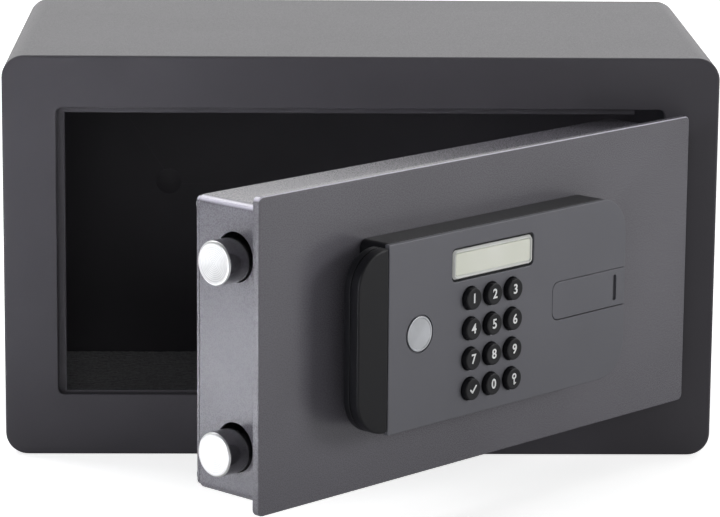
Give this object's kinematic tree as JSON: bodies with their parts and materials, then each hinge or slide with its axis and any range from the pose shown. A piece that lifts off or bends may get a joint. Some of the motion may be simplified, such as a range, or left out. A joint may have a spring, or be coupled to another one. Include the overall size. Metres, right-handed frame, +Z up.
{
  "type": "in room safe",
  "caption": "Small steel room safe with an inset motor-locked door on a concealed hinge, round locking bolts, and a keypad housing with display, round keys and an end grip.",
  "frame": {"origin": "centre of the cabinet's flat underside", "axes": "+X to the right as seen from the front, +Y from the front to the rear, +Z up; the door is hinged at +X and stands 45 degrees open at rest"},
  "size_m": [0.35, 0.4185, 0.2],
  "materials": {
    "body_paint": "fine satin powder coat, charcoal",
    "inner_paint": "matt dark paint",
    "mat_felt": "needle felt, near black",
    "door_paint": "fine satin powder coat, dark grey",
    "zinc_steel": "bright zinc plate",
    "bolt_chrome": "polished",
    "black_plastic": "moulded, satin",
    "face_grey": "satin metallic grey",
    "key_plastic": "satin black",
    "display_glass": "pale grey-green display film",
    "badge_metal": "satin",
    "board": "green solder mask",
    "brass": "machined",
    "silicone": "matt",
    "cell_jacket": "printed sleeve, plain"
  },
  "bodies": {
    "cabinet": {"body_wrap": "body_paint", "rear_panel": "body_paint", "wall_plug_left": "black_plastic", "wall_plug_right": "black_plastic", "front_frame": "body_paint", "stop_lip": "inner_paint", "strike_plate": "inner_paint", "floor_mat": "mat_felt", "hinge_bracket_top": "inner_paint", "hinge_bracket_bottom": "inner_paint", "hinge_pin_top": "zinc_steel", "hinge_pin_bottom": "zinc_steel"},
    "door": {"door_plate": "door_paint", "door_box": "door_paint", "door_rear_cover": "door_paint", "rear_cover_screw_1": "zinc_steel", "rear_cover_screw_2": "zinc_steel", "rear_cover_screw_3": "zinc_steel", "rear_cover_screw_4": "zinc_steel", "hinge_arm_top": "zinc_steel", "hinge_arm_bottom": "zinc_steel", "rack_guide": "black_plastic", "gearbox": "black_plastic", "lock_motor": "zinc_steel", "ribbon_cable": "silicone", "battery_tray": "black_plastic", "battery_1": "cell_jacket", "battery_2": "cell_jacket", "battery_3": "cell_jacket", "battery_4": "cell_jacket", "housing_base": "black_plastic", "face_cover": "face_grey", "display_window": "display_glass", "display_module": "black_plastic", "circuit_board": "board", "key_mat": "silicone", "badge": "badge_metal", "lock_cylinder": "brass"},
    "bolt_work": {"bolt_top": "bolt_chrome", "bolt_bottom": "bolt_chrome", "bolt_carriage": "zinc_steel"},
    "pinion": {"drive_pinion": "brass"},
    "emergency_cover": {"emergency_lock_cover": "face_grey"},
    "emergency_lock": {"lock_plug": "brass", "lock_cam": "zinc_steel"},
    "battery_hatch": {"battery_cover": "black_plastic"},
    "reset": {"reset_button": "key_plastic"},
    "key_01": {"key_01": "key_plastic"},
    "key_02": {"key_02": "key_plastic"},
    "key_03": {"key_03": "key_plastic"},
    "key_04": {"key_04": "key_plastic"},
    "key_05": {"key_05": "key_plastic"},
    "key_06": {"key_06": "key_plastic"},
    "key_07": {"key_07": "key_plastic"},
    "key_08": {"key_08": "key_plastic"},
    "key_09": {"key_09": "key_plastic"},
    "key_10": {"key_10": "key_plastic"},
    "key_11": {"key_11": "key_plastic"},
    "key_12": {"key_12": "key_plastic"}
  },
  "joints": [
    {"name": "door_swing", "type": "hinge", "parent": "cabinet", "child": "door", "pos_m": [0.1655, -0.0895, 0.1025], "axis": [0, 0, 1], "range_deg": [-45, 50]},
    {"name": "bolt_slide", "type": "slide", "parent": "door", "child": "bolt_work", "axis": [0.7071, 0.7071, 0], "range_m": [0, 0.013]},
    {"name": "pinion_turn", "type": "hinge", "parent": "door", "child": "pinion", "pos_m": [-0.01114, -0.25157, 0.1065], "axis": [0.7071, -0.7071, 0], "range_deg": [0, 124.5]},
    {"name": "emergency_cover_slide", "type": "slide", "parent": "door", "child": "emergency_cover", "axis": [0.7071, 0.7071, 0], "range_m": [0, 0.04]},
    {"name": "emergency_lock_turn", "type": "hinge", "parent": "door", "child": "emergency_lock", "pos_m": [0.08995, -0.1799, 0.103], "axis": [0.7071, -0.7071, 0], "range_deg": [-90, 0]},
    {"name": "battery_cover_slide", "type": "slide", "parent": "door", "child": "battery_hatch", "axis": [-0.7071, -0.7071, 0], "range_m": [0, 0.04]},
    {"name": "reset_button_press", "type": "slide", "parent": "door", "child": "reset", "axis": [0.7071, -0.7071, 0], "range_m": [0, 0.0012], "stiffness_N_per_m": 400},
    {"name": "key_01_press", "type": "slide", "parent": "door", "child": "key_01", "axis": [-0.7071, 0.7071, 0], "range_m": [0, 0.0009], "stiffness_N_per_m": 600},
    {"name": "key_02_press", "type": "slide", "parent": "door", "child": "key_02", "axis": [-0.7071, 0.7071, 0], "range_m": [0, 0.0009], "stiffness_N_per_m": 600},
    {"name": "key_03_press", "type": "slide", "parent": "door", "child": "key_03", "axis": [-0.7071, 0.7071, 0], "range_m": [0, 0.0009], "stiffness_N_per_m": 600},
    {"name": "key_04_press", "type": "slide", "parent": "door", "child": "key_04", "axis": [-0.7071, 0.7071, 0], "range_m": [0, 0.0009], "stiffness_N_per_m": 600},
    {"name": "key_05_press", "type": "slide", "parent": "door", "child": "key_05", "axis": [-0.7071, 0.7071, 0], "range_m": [0, 0.0009], "stiffness_N_per_m": 600},
    {"name": "key_06_press", "type": "slide", "parent": "door", "child": "key_06", "axis": [-0.7071, 0.7071, 0], "range_m": [0, 0.0009], "stiffness_N_per_m": 600},
    {"name": "key_07_press", "type": "slide", "parent": "door", "child": "key_07", "axis": [-0.7071, 0.7071, 0], "range_m": [0, 0.0009], "stiffness_N_per_m": 600},
    {"name": "key_08_press", "type": "slide", "parent": "door", "child": "key_08", "axis": [-0.7071, 0.7071, 0], "range_m": [0, 0.0009], "stiffness_N_per_m": 600},
    {"name": "key_09_press", "type": "slide", "parent": "door", "child": "key_09", "axis": [-0.7071, 0.7071, 0], "range_m": [0, 0.0009], "stiffness_N_per_m": 600},
    {"name": "key_10_press", "type": "slide", "parent": "door", "child": "key_10", "axis": [-0.7071, 0.7071, 0], "range_m": [0, 0.0009], "stiffness_N_per_m": 600},
    {"name": "key_11_press", "type": "slide", "parent": "door", "child": "key_11", "axis": [-0.7071, 0.7071, 0], "range_m": [0, 0.0009], "stiffness_N_per_m": 600},
    {"name": "key_12_press", "type": "slide", "parent": "door", "child": "key_12", "axis": [-0.7071, 0.7071, 0], "range_m": [0, 0.0009], "stiffness_N_per_m": 600}
  ],
  "couplings": [
    {"joint": "pinion_turn", "follows": "bolt_slide", "rad_per_m": 166.67}
  ]
}
